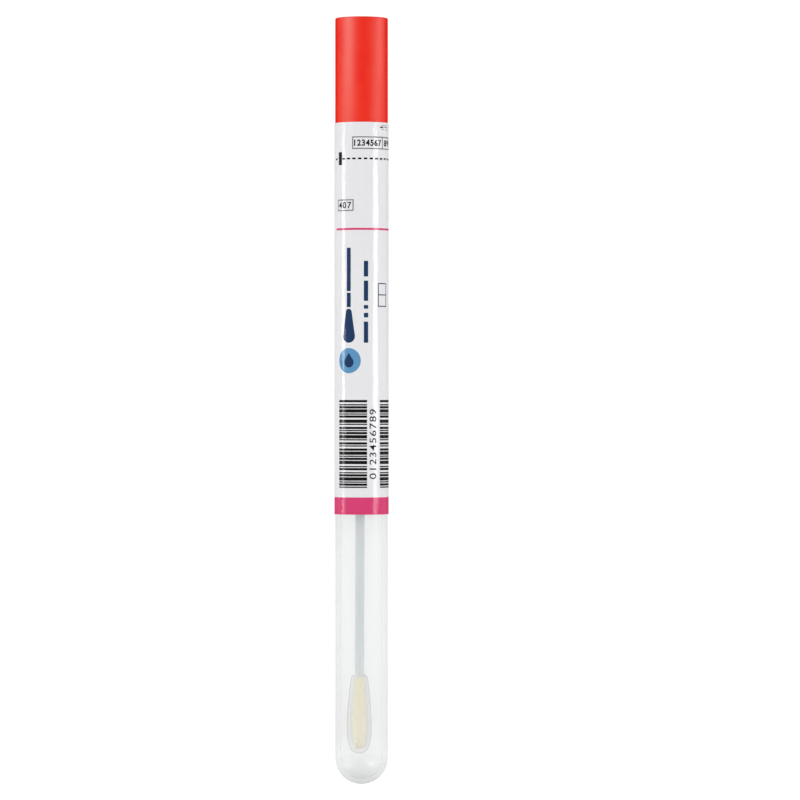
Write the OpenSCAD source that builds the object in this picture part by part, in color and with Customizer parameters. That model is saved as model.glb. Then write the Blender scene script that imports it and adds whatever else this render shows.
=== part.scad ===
// Specimen swab tube: a round-bottomed transport tube, closed by a push-in cap
// that carries a flocked swab. A film label wraps the tube and seals the cap.
//
// The tube lies on its side, as it comes to rest on a bench: its axis runs along
// Y with the cap at +Y, and the front of its label faces up. The origin is on the
// bench, under the middle of its length. Every module below is drawn upright,
// from the round bottom at height 0, and lay() puts it on its side.
// All sizes are in millimetres.

/* [Tube] */
// Outer diameter of the barrel, the grip and the round bottom
tube_d = 11.5; // [11:0.1:14]
// Thickness of the tube's wall and floor
tube_wall = 1.05; // [0.7:0.05:1.2]
// Height of the chamfer that leads the plug into the mouth
mouth_chamfer = 0.4; // [0.1:0.05:0.6]
// Free height between the floor of the tube and the swab's tip
tip_gap = 5.6; // [2:0.05:15]

/* [Cap] */
// Length of the grip above the tube's mouth
grip_l = 30.9; // [28:0.1:45]
// Radius of the rounded edge at the top of the grip
grip_edge_r = 0.25; // [0.1:0.05:1]
// Thickness of the closed top
roof_t = 1.3; // [0.8:0.1:2.5]
// Length of the plug below the mouth
plug_l = 12; // [10:0.5:18]
// Thickness of the plug's wall between its beads
plug_wall = 0.7; // [0.5:0.05:0.9]
// Height of a sealing bead above the plug's wall
bead_h = 0.2; // [0.1:0.05:0.3]
// Radius of a sealing bead's round section
bead_r = 0.5; // [0.35:0.05:0.8]
// Number of sealing beads
bead_count = 3; // [1:1:4]
// Distance from one sealing bead to the next
bead_pitch = 3; // [2:0.1:3]
// Radial play between the beads and the tube's bore
plug_play = 0.05; // [0.02:0.01:0.1]
// Height of the swab's seat above the tube's mouth
seat_h = 22.3; // [16:0.1:24]
// Length of the socket that holds the handle
socket_l = 24; // [12:0.5:30]
// Thickness of the socket's wall
socket_wall = 0.8; // [0.5:0.05:1]
// Play between the handle and its socket, which lets the swab hang a little to one side
socket_play = 0.05; // [0.01:0.01:0.08]

/* [Swab] */
// Length of the swab from its tip to the round end of its handle
swab_l = 152; // [145:0.5:165]
// Diameter of the thin stick
stick_d = 2; // [1.6:0.1:2.4]
// Diameter of the handle
handle_d = 2.7; // [2.6:0.1:3.2]
// Distance from the tip to the step where the handle begins
step_at = 53; // [40:0.5:70]
// Length of the taper at the step
step_l = 0.6; // [0.2:0.1:2]
// Distance from the tip to the middle of the breakpoint
break_at = 80; // [75:0.5:105]
// Depth of the groove at the breakpoint
break_depth = 0.3; // [0.1:0.05:0.6]
// Width of the groove at the handle's surface
break_w = 1.2; // [0.8:0.1:2]
// Angle round the handle that the breakpoint's ink covers
break_arc = 170; // [60:10:270]

/* [Flocked head] */
// Length of the head from its tip to the stick
head_l = 17.2; // [14:0.2:22]
// Largest diameter of the head
head_d = 5.4; // [4.6:0.1:6.5]
// Distance from the tip to the thickest place
head_thick_at = 6; // [4:0.2:7]
// Diameter of the head where it rounds off to the stick
head_neck_d = 3.8; // [3.4:0.1:4.4]
// Length of the round shoulder at the stick
head_shoulder_l = 1; // [0.5:0.1:1.6]
// Length of the fibres, which is the thickness of the flock
flock_t = 1.1; // [0.7:0.1:1.2]

/* [Label] */
// Thickness of the film
film_t = 0.16; // [0.08:0.01:0.25]
// Length of the label below the perforation
label_l = 77.4; // [77:0.1:95]
// Length of the strip above the perforation
seal_l = 7.95; // [7.5:0.05:15]
// Width of the lap at the back
lap_w = 3; // [1.5:0.1:4]
// Angle from the front to the middle of the lap
lap_at = 215; // [210:1:225]
// Depth of the printed colour in the film
ink_t = 0.05; // [0.02:0.01:0.06]

/* [Print] */
// Height of the colour band at the label's lower edge
band_h = 3.75; // [2:0.05:4.5]
// Distance from the perforation down to the colour line
line_at = 15.3; // [13:0.1:16.5]
// Thickness of the colour line
line_w = 0.4; // [0.2:0.05:0.8]
// Length of one dash on the perforation
dash_l = 0.65; // [0.4:0.05:0.8]
// Distance from one dash to the next
dash_pitch = 1.28; // [1:0.02:1.6]
// Thickness of the dashes
dash_w = 0.31; // [0.2:0.01:0.5]
// Height of the mark across the perforation
tick_h = 2.8; // [1.5:0.1:3.6]
// Number of bars in each bar code
bar_count = 28; // [20:1:28]
// Width of the narrowest bar
bar_module = 0.224; // [0.18:0.002:0.225]
// Length of the bars round the tube
bar_l = 6.9; // [5:0.1:7.1]
// Thickness of the printed outlines
outline_w = 0.2; // [0.12:0.01:0.3]

/* [Hidden] */
$fn = 96;
eps = 0.01;

// Tube, from its round bottom up
tube_r = tube_d / 2;
bore_r = tube_r - tube_wall;
tip_z = tube_wall + tip_gap;
mouth_z = tip_z + swab_l - seat_h;
total_l = mouth_z + grip_l;

// Cap, measured from the mouth
grip_r = tube_r;
bead_top_r = bore_r - plug_play;
plug_r = bead_top_r - bead_h;
cap_bore_r = plug_r - plug_wall;
plug_chamfer = 0.3;
first_bead_z = -2.5;
socket_bore_r = handle_d / 2 + socket_play;
socket_r = socket_bore_r + socket_wall;

// The swab leans by most of what its play in the socket allows
lean_share = 0.9;
lean = atan(2 * lean_share * socket_play / socket_l);

// Label film and the layers on it
label_r = tube_r + film_t;
lap_r = label_r + film_t;
lap_half_w = lap_w / 2;
lap_margin = 0.15;

// Art on the label, laid out flat: x round the tube from the middle of the
// front, y up from the perforation. Places below it are shares of the label's
// length, so the print keeps clear of the band on a shorter label
print_left = -6.9;
print_margin = 0.6;
print_right = label_r * lap_at * PI / 180 - lap_half_w - print_margin;
dash_left = -6.5;
tick_x = [-5.8, -4.75];
first_bar_y = -0.9243 * label_l;
bar_x = [-5.64, 4.42];
number_x = [1.81, 3.44];
number_y = [-0.9, -0.7035] * label_l;
number_count = 10;
sign_x = -2.86;
sign_y = [-0.5173, -0.2503] * label_l;
sign_l = sign_y[1] - sign_y[0];
sign_head_w = 2.9;
sign_head_l = 7.4;
sign_stick_w = 0.95;
sign_gap = 0.35;
emblem = [-2.9, -0.5674 * label_l];
emblem_r = 2.75;
drop_r = 1.15;
small_text_x = [0.55, 1.5];
small_text_y = sign_y[0];
word_l = [4.6, 1, 0.8, 4.4, 3.4];
word_gap = 0.9;
leaflet_x = [3.87, 6.69];
leaflet_y = [-0.4159, -0.3492] * label_l;
lot_x = [-6.17, -1.71];
lot_y = [-0.147, -0.1143] * label_l;
panel_x = [-2.05, 8.4];
panel_y = [2.05, 4.8];
panel_divider_x = 5.24;
arrow_x = [4.9, 7.4];
arrow_y = 6.5;

// Degrees round the label for a length on its surface
function degrees_round(w) = w / label_r * 180 / PI;

// Points of a quarter arc about c, from angle a0 to a1, with radii rx and ry
function arc(c, rx, ry, a0, a1, n = 8) =
    [for (i = [0 : n]) let (a = a0 + (a1 - a0) * i / n) c + [rx * cos(a), ry * sin(a)]];

// Radius of the head at height z above the tip: a blunt egg that thins to the neck
nose_power = 2.6;
neck_power = 1.6;
head_body_l = head_l - head_shoulder_l;
function egg_r(z, low, thick_r) =
    z < head_thick_at
        ? thick_r * pow(1 - pow((head_thick_at - z) / (head_thick_at - low), nose_power), 1 / nose_power)
        : thick_r - (head_d - head_neck_d) / 2
            * pow((z - head_thick_at) / (head_body_l - head_thick_at), neck_power);

// Profile of the head, or of the bulb inside it when inset is the flock's thickness
function head_profile(inset) = concat(
    [for (i = [0 : 12]) let (z = inset + (head_thick_at - inset) * (1 - cos(i * 7.5)))
        [egg_r(z, inset, head_d / 2 - inset), z]],
    [for (i = [1 : 10]) let (z = head_thick_at + (head_body_l - head_thick_at) * i / 10)
        [max(stick_d / 2, egg_r(z, inset, head_d / 2 - inset)), z]]
);

// Turns an upright shape on its side, resting on the label
module lay() {
    translate([0, -total_l / 2, label_r]) rotate([-90, 0, 0]) children();
}

// Hangs a piece of the swab, drawn upright from the swab's tip, in the cap's socket
module hang() {
    pivot = swab_l - socket_l / 2;
    lay() translate([0, 0, tip_z + pivot]) rotate([0, lean, 0]) translate([0, 0, -pivot]) children();
}

// A piece of shell from radius r0 to r1, from angle a0 to a1 round from the front
module shell(r0, r1, z0, z1, a0 = 0, a1 = 360) {
    rotate([0, 0, a0 - 90])
        rotate_extrude(angle = a1 - a0)
            translate([r0, z0]) square([r1 - r0, z1 - z0]);
}

// ---- Tube ----

module capsule(r, l, floor_z) {
    translate([0, 0, floor_z + r]) {
        sphere(r = r);
        cylinder(r = r, h = l - r);
    }
}

module tube() {
    color([0.93, 0.94, 0.94, 0.5]) lay() difference() {
        capsule(tube_r, mouth_z, 0);
        capsule(bore_r, mouth_z, tube_wall);
        translate([0, 0, mouth_z - mouth_chamfer])
            cylinder(r1 = bore_r, r2 = bore_r + mouth_chamfer + eps, h = mouth_chamfer + eps);
    }
}

// ---- Cap ----

module grip_and_plug() {
    rotate_extrude() polygon(concat(
        [[0, -plug_l], [plug_r - plug_chamfer, -plug_l], [plug_r, -plug_l + plug_chamfer],
         [plug_r, 0], [grip_r, 0]],
        arc([grip_r - grip_edge_r, grip_l - grip_edge_r], grip_edge_r, grip_edge_r, 0, 90),
        [[0, grip_l]]
    ));
    for (i = [0 : bead_count - 1])
        translate([0, 0, first_bead_z - i * bead_pitch])
            rotate_extrude() translate([bead_top_r - bead_r, 0]) circle(r = bead_r);
}

// The hollow of the cap, open at the plug's end, round the socket
module cap_hollow() {
    difference() {
        translate([0, 0, -plug_l - 1]) cylinder(r = cap_bore_r, h = plug_l + 1 + grip_l - roof_t);
        translate([0, 0, seat_h - socket_l]) cylinder(r = socket_r, h = grip_l - seat_h + socket_l);
    }
}

// The socket's bore, with a round seat for the end of the handle
module handle_seat() {
    seat_z = seat_h - handle_d / 2;
    translate([0, 0, seat_z]) sphere(r = socket_bore_r);
    translate([0, 0, seat_h - socket_l - 1]) cylinder(r = socket_bore_r, h = seat_z - seat_h + socket_l + 1);
}

module cap() {
    color([0.92, 0.18, 0.14]) lay() translate([0, 0, mouth_z]) difference() {
        grip_and_plug();
        cap_hollow();
        handle_seat();
    }
}

// ---- Swab ----

// Groove of the breakpoint, cut deeper by sink for the ink's layer
module break_groove(sink = 0, a0 = 0, a1 = 360) {
    handle_r = handle_d / 2;
    slope = break_w / 2 / break_depth;
    floor_r = handle_r - break_depth - sink;
    rim_r = handle_r + 1;
    rim_h = (rim_r - floor_r) * slope;
    translate([0, 0, break_at]) rotate([0, 0, a0 - 90]) rotate_extrude(angle = a1 - a0)
        polygon([[floor_r, 0], [rim_r, -rim_h], [rim_r, rim_h]]);
}

// Outline of the bare stick from the tip: bulb, stick, taper, handle and round end
module shaft_outline() {
    handle_r = handle_d / 2;
    polygon(concat(
        head_profile(flock_t),
        [[stick_d / 2, head_l], [stick_d / 2, step_at], [handle_r, step_at + step_l]],
        arc([0, swab_l - handle_r], handle_r, handle_r, 0, 90, 12)
    ));
}

module stick() {
    difference() {
        rotate_extrude() shaft_outline();
        break_groove();
    }
}

module swab_shaft() {
    color([0.93, 0.95, 0.95]) hang() difference() {
        stick();
        break_groove(ink_t, 0, break_arc);
    }
}

module breakpoint_mark() {
    color([0.89, 0.06, 0.06]) hang() intersection() {
        stick();
        break_groove(ink_t, 0, break_arc);
    }
}

module flock_tip() {
    color([0.97, 0.95, 0.85]) hang() difference() {
        rotate_extrude() polygon(concat(
            head_profile(0),
            arc([stick_d / 2, head_body_l], (head_neck_d - stick_d) / 2, head_shoulder_l, 0, 90, 6),
            [[0, head_l]]
        ));
        rotate_extrude() shaft_outline();
    }
}

// ---- Print ----
// Each print module takes the radius that its colour reaches: the film's surface
// for the colour itself, and a little more for the recess that it fills.

recess_r = label_r + film_t / 2;

module patch(x, y, top_r, under = 0) {
    shell(
        label_r - ink_t - under, top_r, mouth_z + y[0], mouth_z + y[1],
        degrees_round(x[0]), degrees_round(x[1])
    );
}

// A flat shape pressed into the film at a place on it
module stamp(place, top_r) {
    intersection() {
        shell(label_r - ink_t, top_r, mouth_z - label_l, mouth_z + seal_l);
        translate([0, 0, mouth_z + place[1]]) rotate([0, 0, degrees_round(place[0])])
            rotate([90, 0, 0]) linear_extrude(height = label_r + 1) children();
    }
}

// A printed outline whose bare cells lie between the edges in x and between those in y
module frame_print(x, y, top_r) {
    difference() {
        patch([x[0], x[len(x) - 1]], [y[0], y[len(y) - 1]], top_r);
        for (i = [1 : len(x) - 1], j = [1 : len(y) - 1])
            patch(
                [x[i - 1] + (i == 1 ? outline_w : outline_w / 2),
                 x[i] - (i == len(x) - 1 ? outline_w : outline_w / 2)],
                [y[j - 1] + (j == 1 ? outline_w : outline_w / 2),
                 y[j] - (j == len(y) - 1 ? outline_w : outline_w / 2)],
                top_r + film_t, ink_t
            );
    }
}

// Blocks in a row that stand for writing, along x or along y
module block_row(x, y, count, top_r, gap = 0.35) {
    pitch = (x[1] - x[0] + gap) / count;
    for (i = [0 : count - 1])
        patch([x[0] + i * pitch, x[0] + (i + 1) * pitch - gap], y, top_r);
}

module block_column(x, y, count, top_r, gap = 0.5) {
    pitch = (y[1] - y[0] + gap) / count;
    for (i = [0 : count - 1])
        patch(x, [y[0] + i * pitch, y[0] + (i + 1) * pitch - gap], top_r);
}

// Widths of the bars and gaps, in modules, mixed by steps of an irrational share
function bar_modules(i) = 1 + floor(2.6 * (i * 0.618 % 1));
function gap_modules(i) = 1 + floor(1.35 * (i * 0.57 % 1));
function bar_start(i) = i == 0 ? 0 : bar_start(i - 1) + bar_modules(i - 1) + gap_modules(i - 1);

module bar_code(left_x, top_r) {
    for (i = [0 : bar_count - 1]) {
        y = first_bar_y + bar_start(i) * bar_module;
        patch([left_x, left_x + bar_l], [y, y + bar_modules(i) * bar_module], top_r);
    }
}

// The dashes and the mark on the perforation, from y0 to y1
module perforation_print(y0, y1, top_r) {
    limit = [max(y0, -dash_w / 2), min(y1, dash_w / 2)];
    tick = [max(y0, -tick_h / 2), min(y1, tick_h / 2)];
    patch(tick_x, tick, top_r);
    for (x = [dash_left : dash_pitch : print_right - dash_l])
        if (x + dash_l < tick_x[0] || x > tick_x[1]) patch([x, x + dash_l], limit, top_r);
}

module black_art(top_r) {
    for (left_x = bar_x) bar_code(left_x, top_r);
    block_column(number_x, number_y, number_count, top_r);
    frame_print(lot_x, lot_y, top_r);
    block_row([lot_x[0] + 0.55, lot_x[1] - 0.55], [lot_y[0] + 0.65, lot_y[1] - 0.65], 3, top_r);
    perforation_print(-tick_h, 0, top_r);
}

module seal_art(top_r) {
    text_y = [panel_y[0] + 0.65, panel_y[1] - 0.65];
    frame_print([panel_x[0], panel_divider_x, panel_x[1]], panel_y, top_r);
    block_row([panel_x[0] + 0.5, panel_divider_x - 0.3], text_y, 7, top_r);
    block_row([panel_divider_x + 0.5, panel_x[1] - 0.5], text_y, 2, top_r);
    patch([arrow_x[0] + 0.5, arrow_x[1]], [arrow_y - 0.12, arrow_y + 0.12], top_r);
    patch([arrow_x[0], arrow_x[0] + 0.5], [arrow_y - 0.35, arrow_y + 0.35], top_r);
    perforation_print(0, tick_h, top_r);
}

// The colour line, and the band that climbs over the lap; over takes the band's
// recess past the film's lower edge
module pink_art(top_r, over = 0) {
    low_z = mouth_z - label_l;
    foot = degrees_round(lap_half_w + lap_margin);
    lap = degrees_round(lap_half_w - lap_margin);
    shell(label_r - ink_t, top_r, low_z - over, low_z + band_h, lap_at + foot - 360, lap_at - foot);
    shell(lap_r - ink_t, top_r + film_t, low_z - over, low_z + band_h, lap_at - lap, lap_at + lap);
    patch([print_left, print_right], [-line_at - line_w / 2, -line_at + line_w / 2], top_r);
}

// A plain swab as a pictogram: a long head, and a stick that is parted at its breakpoint
module swab_sign(top_r) {
    head_r = sign_head_w / 2;
    neck_r = sign_stick_w * 0.75;
    stick_x = [sign_x - sign_stick_w / 2, sign_x + sign_stick_w / 2];
    stick_y = sign_y[0] + sign_head_l + sign_gap;
    part_y = sign_y[0] + sign_l * break_at / swab_l;
    stamp([sign_x, sign_y[0]], top_r) hull() {
        translate([0, head_r]) circle(r = head_r, $fn = 32);
        translate([0, sign_head_l - neck_r]) circle(r = neck_r, $fn = 32);
    }
    patch(stick_x, [stick_y, part_y], top_r);
    patch(stick_x, [part_y + sign_gap, sign_y[1]], top_r);
}

module navy_art(top_r) {
    swab_sign(top_r);
    small_text(small_text_y, 0, top_r);
    frame_print(leaflet_x, [leaflet_y[0], (leaflet_y[0] + leaflet_y[1]) / 2, leaflet_y[1]], top_r);
}

module small_text(y, i, top_r) {
    if (i < len(word_l)) {
        patch(small_text_x, [y, y + word_l[i]], top_r);
        small_text(y + word_l[i] + word_gap, i + 1, top_r);
    }
}

module drop_outline() {
    hull() {
        translate([0, -0.35]) circle(r = drop_r, $fn = 32);
        translate([0, 1.5]) circle(r = 0.1, $fn = 12);
    }
}

// The emblem is a disc of one colour round a drop of another, in one recess
module emblem_disc() {
    circle(r = emblem_r);
}

module label_pink_print() {
    color([0.83, 0.27, 0.45]) lay() pink_art(label_r);
}

module label_black_print() {
    color([0.1, 0.1, 0.1]) lay() black_art(label_r);
}

module label_navy_print() {
    color([0.1, 0.22, 0.37]) lay() {
        navy_art(label_r);
        stamp(emblem, label_r) drop_outline();
    }
}

module label_blue_print() {
    color([0.35, 0.57, 0.75]) lay() stamp(emblem, label_r) difference() {
        emblem_disc();
        drop_outline();
    }
}

module seal_black_print() {
    color([0.1, 0.1, 0.1]) lay() seal_art(label_r);
}

// ---- Label ----

// Section through the film with its lap
module film_section() {
    half = degrees_round(lap_half_w);
    difference() {
        union() {
            circle(r = label_r);
            rotate(lap_at - 90) intersection() {
                circle(r = lap_r);
                polygon([[0, 0], 2 * lap_r * [cos(half), -sin(half)], 2 * lap_r * [cos(half), sin(half)]]);
            }
        }
        circle(r = tube_r);
    }
}

// The film from y0 to y1
module film(y0, y1) {
    translate([0, 0, mouth_z + y0]) linear_extrude(height = y1 - y0) film_section();
}

module label() {
    color([0.9, 0.9, 0.91]) lay() difference() {
        film(-label_l, 0);
        black_art(recess_r);
        navy_art(recess_r);
        stamp(emblem, recess_r) emblem_disc();
        pink_art(recess_r, 1);
    }
}

module label_seal() {
    color([0.9, 0.9, 0.91]) lay() difference() {
        film(0, seal_l);
        seal_art(recess_r);
    }
}

tube();
cap();
swab_shaft();
flock_tip();
breakpoint_mark();
label();
label_seal();
label_pink_print();
label_black_print();
label_navy_print();
label_blue_print();
seal_black_print();
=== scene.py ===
"""Dresses the closed specimen swab tube: clear tube, push cap, flocked swab and wrapped label.

Every piece is modelled upright in millimetres, with the tube's round bottom at
height 0 and the label's front towards -Y, and is then laid on its side in the
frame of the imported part.
"""

import logging
import math
import random
from collections.abc import Callable
from dataclasses import dataclass, field
from enum import Enum

import bpy
from mathutils import Matrix, Vector


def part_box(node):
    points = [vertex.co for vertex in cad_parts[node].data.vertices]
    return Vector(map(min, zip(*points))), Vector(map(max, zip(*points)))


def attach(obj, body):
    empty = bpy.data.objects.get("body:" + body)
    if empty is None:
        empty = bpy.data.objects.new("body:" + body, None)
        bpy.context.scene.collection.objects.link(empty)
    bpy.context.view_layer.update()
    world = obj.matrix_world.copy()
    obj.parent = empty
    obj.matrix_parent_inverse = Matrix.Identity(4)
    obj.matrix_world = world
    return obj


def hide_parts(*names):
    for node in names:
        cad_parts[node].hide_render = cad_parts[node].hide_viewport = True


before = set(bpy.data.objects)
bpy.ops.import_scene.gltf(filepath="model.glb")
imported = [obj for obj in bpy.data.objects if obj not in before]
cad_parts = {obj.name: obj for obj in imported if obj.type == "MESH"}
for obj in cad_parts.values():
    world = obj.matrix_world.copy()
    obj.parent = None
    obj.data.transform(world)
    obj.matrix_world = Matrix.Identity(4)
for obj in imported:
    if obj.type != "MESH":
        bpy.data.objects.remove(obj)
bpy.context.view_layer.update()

log = logging.getLogger("swab_tube")

Point = tuple[float, float]
Colour = tuple[float, float, float]
Feed = float | tuple[float, ...] | bpy.types.NodeSocket

MM = 0.001

# Facets round the axis, the widest flat stretch of a wrapped print, the gap that merging
# closes, and the angle at which an edge stays crisp.
ROUND_SEGMENTS = 128
SMALL_SEGMENTS = 64
WRAP_STEP = 0.35
SEAM_GAP = 0.0005
CRISP_ANGLE = 32.0

# The socket that the swab hangs in, and the share of its play that the swab's lean takes up.
SOCKET_L = 24.0
SOCKET_PLAY = 0.05
LEAN_SHARE = 0.9
SWAB_LEAN = math.atan(2 * LEAN_SHARE * SOCKET_PLAY / SOCKET_L)

# How far the middle of the swab's head lies below the socket's, and so how far aside, in metres.
HEAD_BELOW = 0.133
HEAD_ASIDE = -HEAD_BELOW * SWAB_LEAN


class Body(Enum):
    """The two bodies that the pieces ride on."""

    TUBE = "specimen_tube"
    CAP = "cap_with_swab"


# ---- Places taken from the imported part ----


@dataclass(frozen=True)
class Datum:
    """Heights and the lying place of the upright model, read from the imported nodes.

    Attributes:
        foot_y: Where the round bottom's tip lies along Y, in metres.
        axis_h: Height of the tube's axis above the bench, in metres.
        mouth: Height of the tube's mouth above its tip.
        top: Height of the cap's top.
        tip: Height of the swab's tip.
        label_low: Height of the label's lower edge.
        seal_top: Height of the seal strip's upper edge.
    """

    foot_y: float
    axis_h: float
    mouth: float
    top: float
    tip: float
    label_low: float
    seal_top: float

    @classmethod
    def read(cls) -> "Datum":
        """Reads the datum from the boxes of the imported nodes.

        Returns:
            The datum.
        """
        low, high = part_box("tube")
        foot = low.y

        def height(y: float) -> float:
            """Height above the tip, in millimetres."""
            return (y - foot) / MM

        return cls(
            foot_y=foot,
            axis_h=(low.z + high.z) / 2,
            mouth=height(high.y),
            top=height(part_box("cap")[1].y),
            tip=height(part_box("flock_tip")[0].y),
            label_low=height(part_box("label")[0].y),
            seal_top=height(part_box("label_seal")[1].y),
        )

    def lay(self) -> Matrix:
        """The move from the upright model in millimetres to the lying part in metres.

        Returns:
            The move.
        """
        return (
            Matrix.Translation((0, self.foot_y, self.axis_h))
            @ Matrix.Rotation(math.radians(-90), 4, "X")
            @ Matrix.Scale(MM, 4)
        )


# ---- Bench tools ----


def clear_selection() -> None:
    """Leaves edit mode and deselects every object."""
    if bpy.context.object and bpy.context.object.mode != "OBJECT":
        bpy.ops.object.mode_set(mode="OBJECT")
    for obj in bpy.context.selected_objects:
        obj.select_set(False)


def pick(obj: bpy.types.Object) -> None:
    """Makes an object the only selected one, and the active one.

    Args:
        obj: The object.
    """
    clear_selection()
    obj.select_set(True)
    bpy.context.view_layer.objects.active = obj


def named(name: str) -> bpy.types.Object:
    """Names the active object and its data.

    Args:
        name: The name of both.

    Returns:
        The object.
    """
    obj = bpy.context.object
    obj.name = obj.data.name = name
    return obj


def keep_place() -> None:
    """Puts the active object's place, turn and size into its mesh."""
    bpy.ops.object.transform_apply(location=True, rotation=True, scale=True)


def move(obj: bpy.types.Object, matrix: Matrix) -> None:
    """Moves an object and keeps the new place in its mesh.

    Args:
        obj: The object.
        matrix: The move.
    """
    pick(obj)
    obj.matrix_world = matrix @ obj.matrix_world
    keep_place()


def select_points(obj: bpy.types.Object, wanted: Callable[[Vector], bool]) -> None:
    """Selects the points of a mesh by their place, and stays in edit mode.

    Args:
        obj: The mesh object in edit mode.
        wanted: Called with a point's coordinates, says whether it is selected.
    """
    bpy.ops.mesh.select_mode(type="VERT")
    bpy.ops.mesh.select_all(action="DESELECT")
    bpy.ops.object.mode_set(mode="OBJECT")
    for point in obj.data.vertices:
        point.select = wanted(point.co)
    bpy.ops.object.mode_set(mode="EDIT")


def span(middle: float, half: float) -> Point:
    """The two ends of a stretch, from its middle and half its length."""
    return (middle - half, middle + half)


def arc(centre: Point, radius: float, start: float, end: float, steps: int) -> list[Point]:
    """Points of a round corner of a profile.

    Args:
        centre: Radius and height of the arc's middle.
        radius: Radius of the arc.
        start: First angle in degrees, 0 pointing away from the axis and 90 up.
        end: Last angle in degrees.
        steps: Number of facets.

    Returns:
        The points, both ends included.
    """
    angles = [math.radians(start + (end - start) * i / steps) for i in range(steps + 1)]
    return [(centre[0] + radius * math.cos(a), centre[1] + radius * math.sin(a)) for a in angles]


def turn(name: str, profile: list[Point], segments: int = ROUND_SEGMENTS) -> bpy.types.Object:
    """Turns a profile about the upright axis, ring by ring.

    Args:
        name: Name of the new piece.
        profile: Points (radius, height). A radius of 0 at either end closes the
            shape in a pole; otherwise the last ring is joined to the first.
        segments: Number of facets round the axis.

    Returns:
        The new object, in object mode.
    """
    has_pole = profile[0][0] == 0
    rings = profile[1:] if has_pole else profile + profile[:1]
    radius, height = rings[0]
    clear_selection()
    bpy.ops.mesh.primitive_circle_add(
        vertices=segments, radius=radius, fill_type="TRIFAN" if has_pole else "NOTHING",
        location=(0, 0, height),
    )
    obj = named(name)
    keep_place()
    bpy.ops.object.mode_set(mode="EDIT")
    if has_pole:
        select_points(obj, lambda co: co.x**2 + co.y**2 < (radius / 2) ** 2)
        bpy.ops.transform.translate(value=(0, 0, profile[0][1] - height))
        select_points(obj, lambda co: co.x**2 + co.y**2 > (radius / 2) ** 2)
    for new_radius, new_height in rings[1:]:
        rise = {"value": (0, 0, new_height - height)}
        bpy.ops.mesh.extrude_region_move(TRANSFORM_OT_translate=rise)
        if new_radius == 0:
            bpy.ops.mesh.merge(type="CENTER")
            break
        share = new_radius / radius
        bpy.ops.transform.resize(value=(share, share, 1), center_override=(0, 0, 0))
        radius, height = new_radius, new_height
    finish_surface(obj)
    return obj


def finish_surface(obj: bpy.types.Object) -> None:
    """Closes seams, points the faces outwards and smooths the soft edges.

    Args:
        obj: The mesh object.
    """
    pick(obj)
    bpy.ops.object.mode_set(mode="EDIT")
    bpy.ops.mesh.select_all(action="SELECT")
    bpy.ops.mesh.remove_doubles(threshold=SEAM_GAP)
    bpy.ops.mesh.normals_make_consistent(inside=False)
    bpy.ops.object.mode_set(mode="OBJECT")
    bpy.ops.object.shade_smooth_by_angle(angle=math.radians(CRISP_ANGLE))


def join(pieces: list[bpy.types.Object], name: str) -> bpy.types.Object:
    """Joins meshes into one object.

    Args:
        pieces: The objects, the first of which takes in the others.
        name: Name of the result.

    Returns:
        The joined object.
    """
    pick(pieces[0])
    for obj in pieces[1:]:
        obj.select_set(True)
    if len(pieces) > 1:
        bpy.ops.object.join()
    return named(name)


def thicken(obj: bpy.types.Object, thickness: float, offset: float) -> None:
    """Gives a thin skin its thickness.

    Args:
        obj: The skin.
        thickness: Its thickness.
        offset: Side that it grows to: 1 outwards, -1 inwards, 0 both.
    """
    pick(obj)
    skin = obj.modifiers.new("thickness", "SOLIDIFY")
    skin.thickness = thickness
    skin.offset = offset
    bpy.ops.object.modifier_apply(modifier=skin.name)


def split_faces(obj: bpy.types.Object, second: Callable[[bpy.types.MeshPolygon], bool]) -> None:
    """Gives some faces of a piece its second finish.

    Args:
        obj: The piece.
        second: Called with a face, says whether it gets the second finish.
    """
    for face in obj.data.polygons:
        face.material_index = int(second(face))


# ---- Nodes ----


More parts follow.
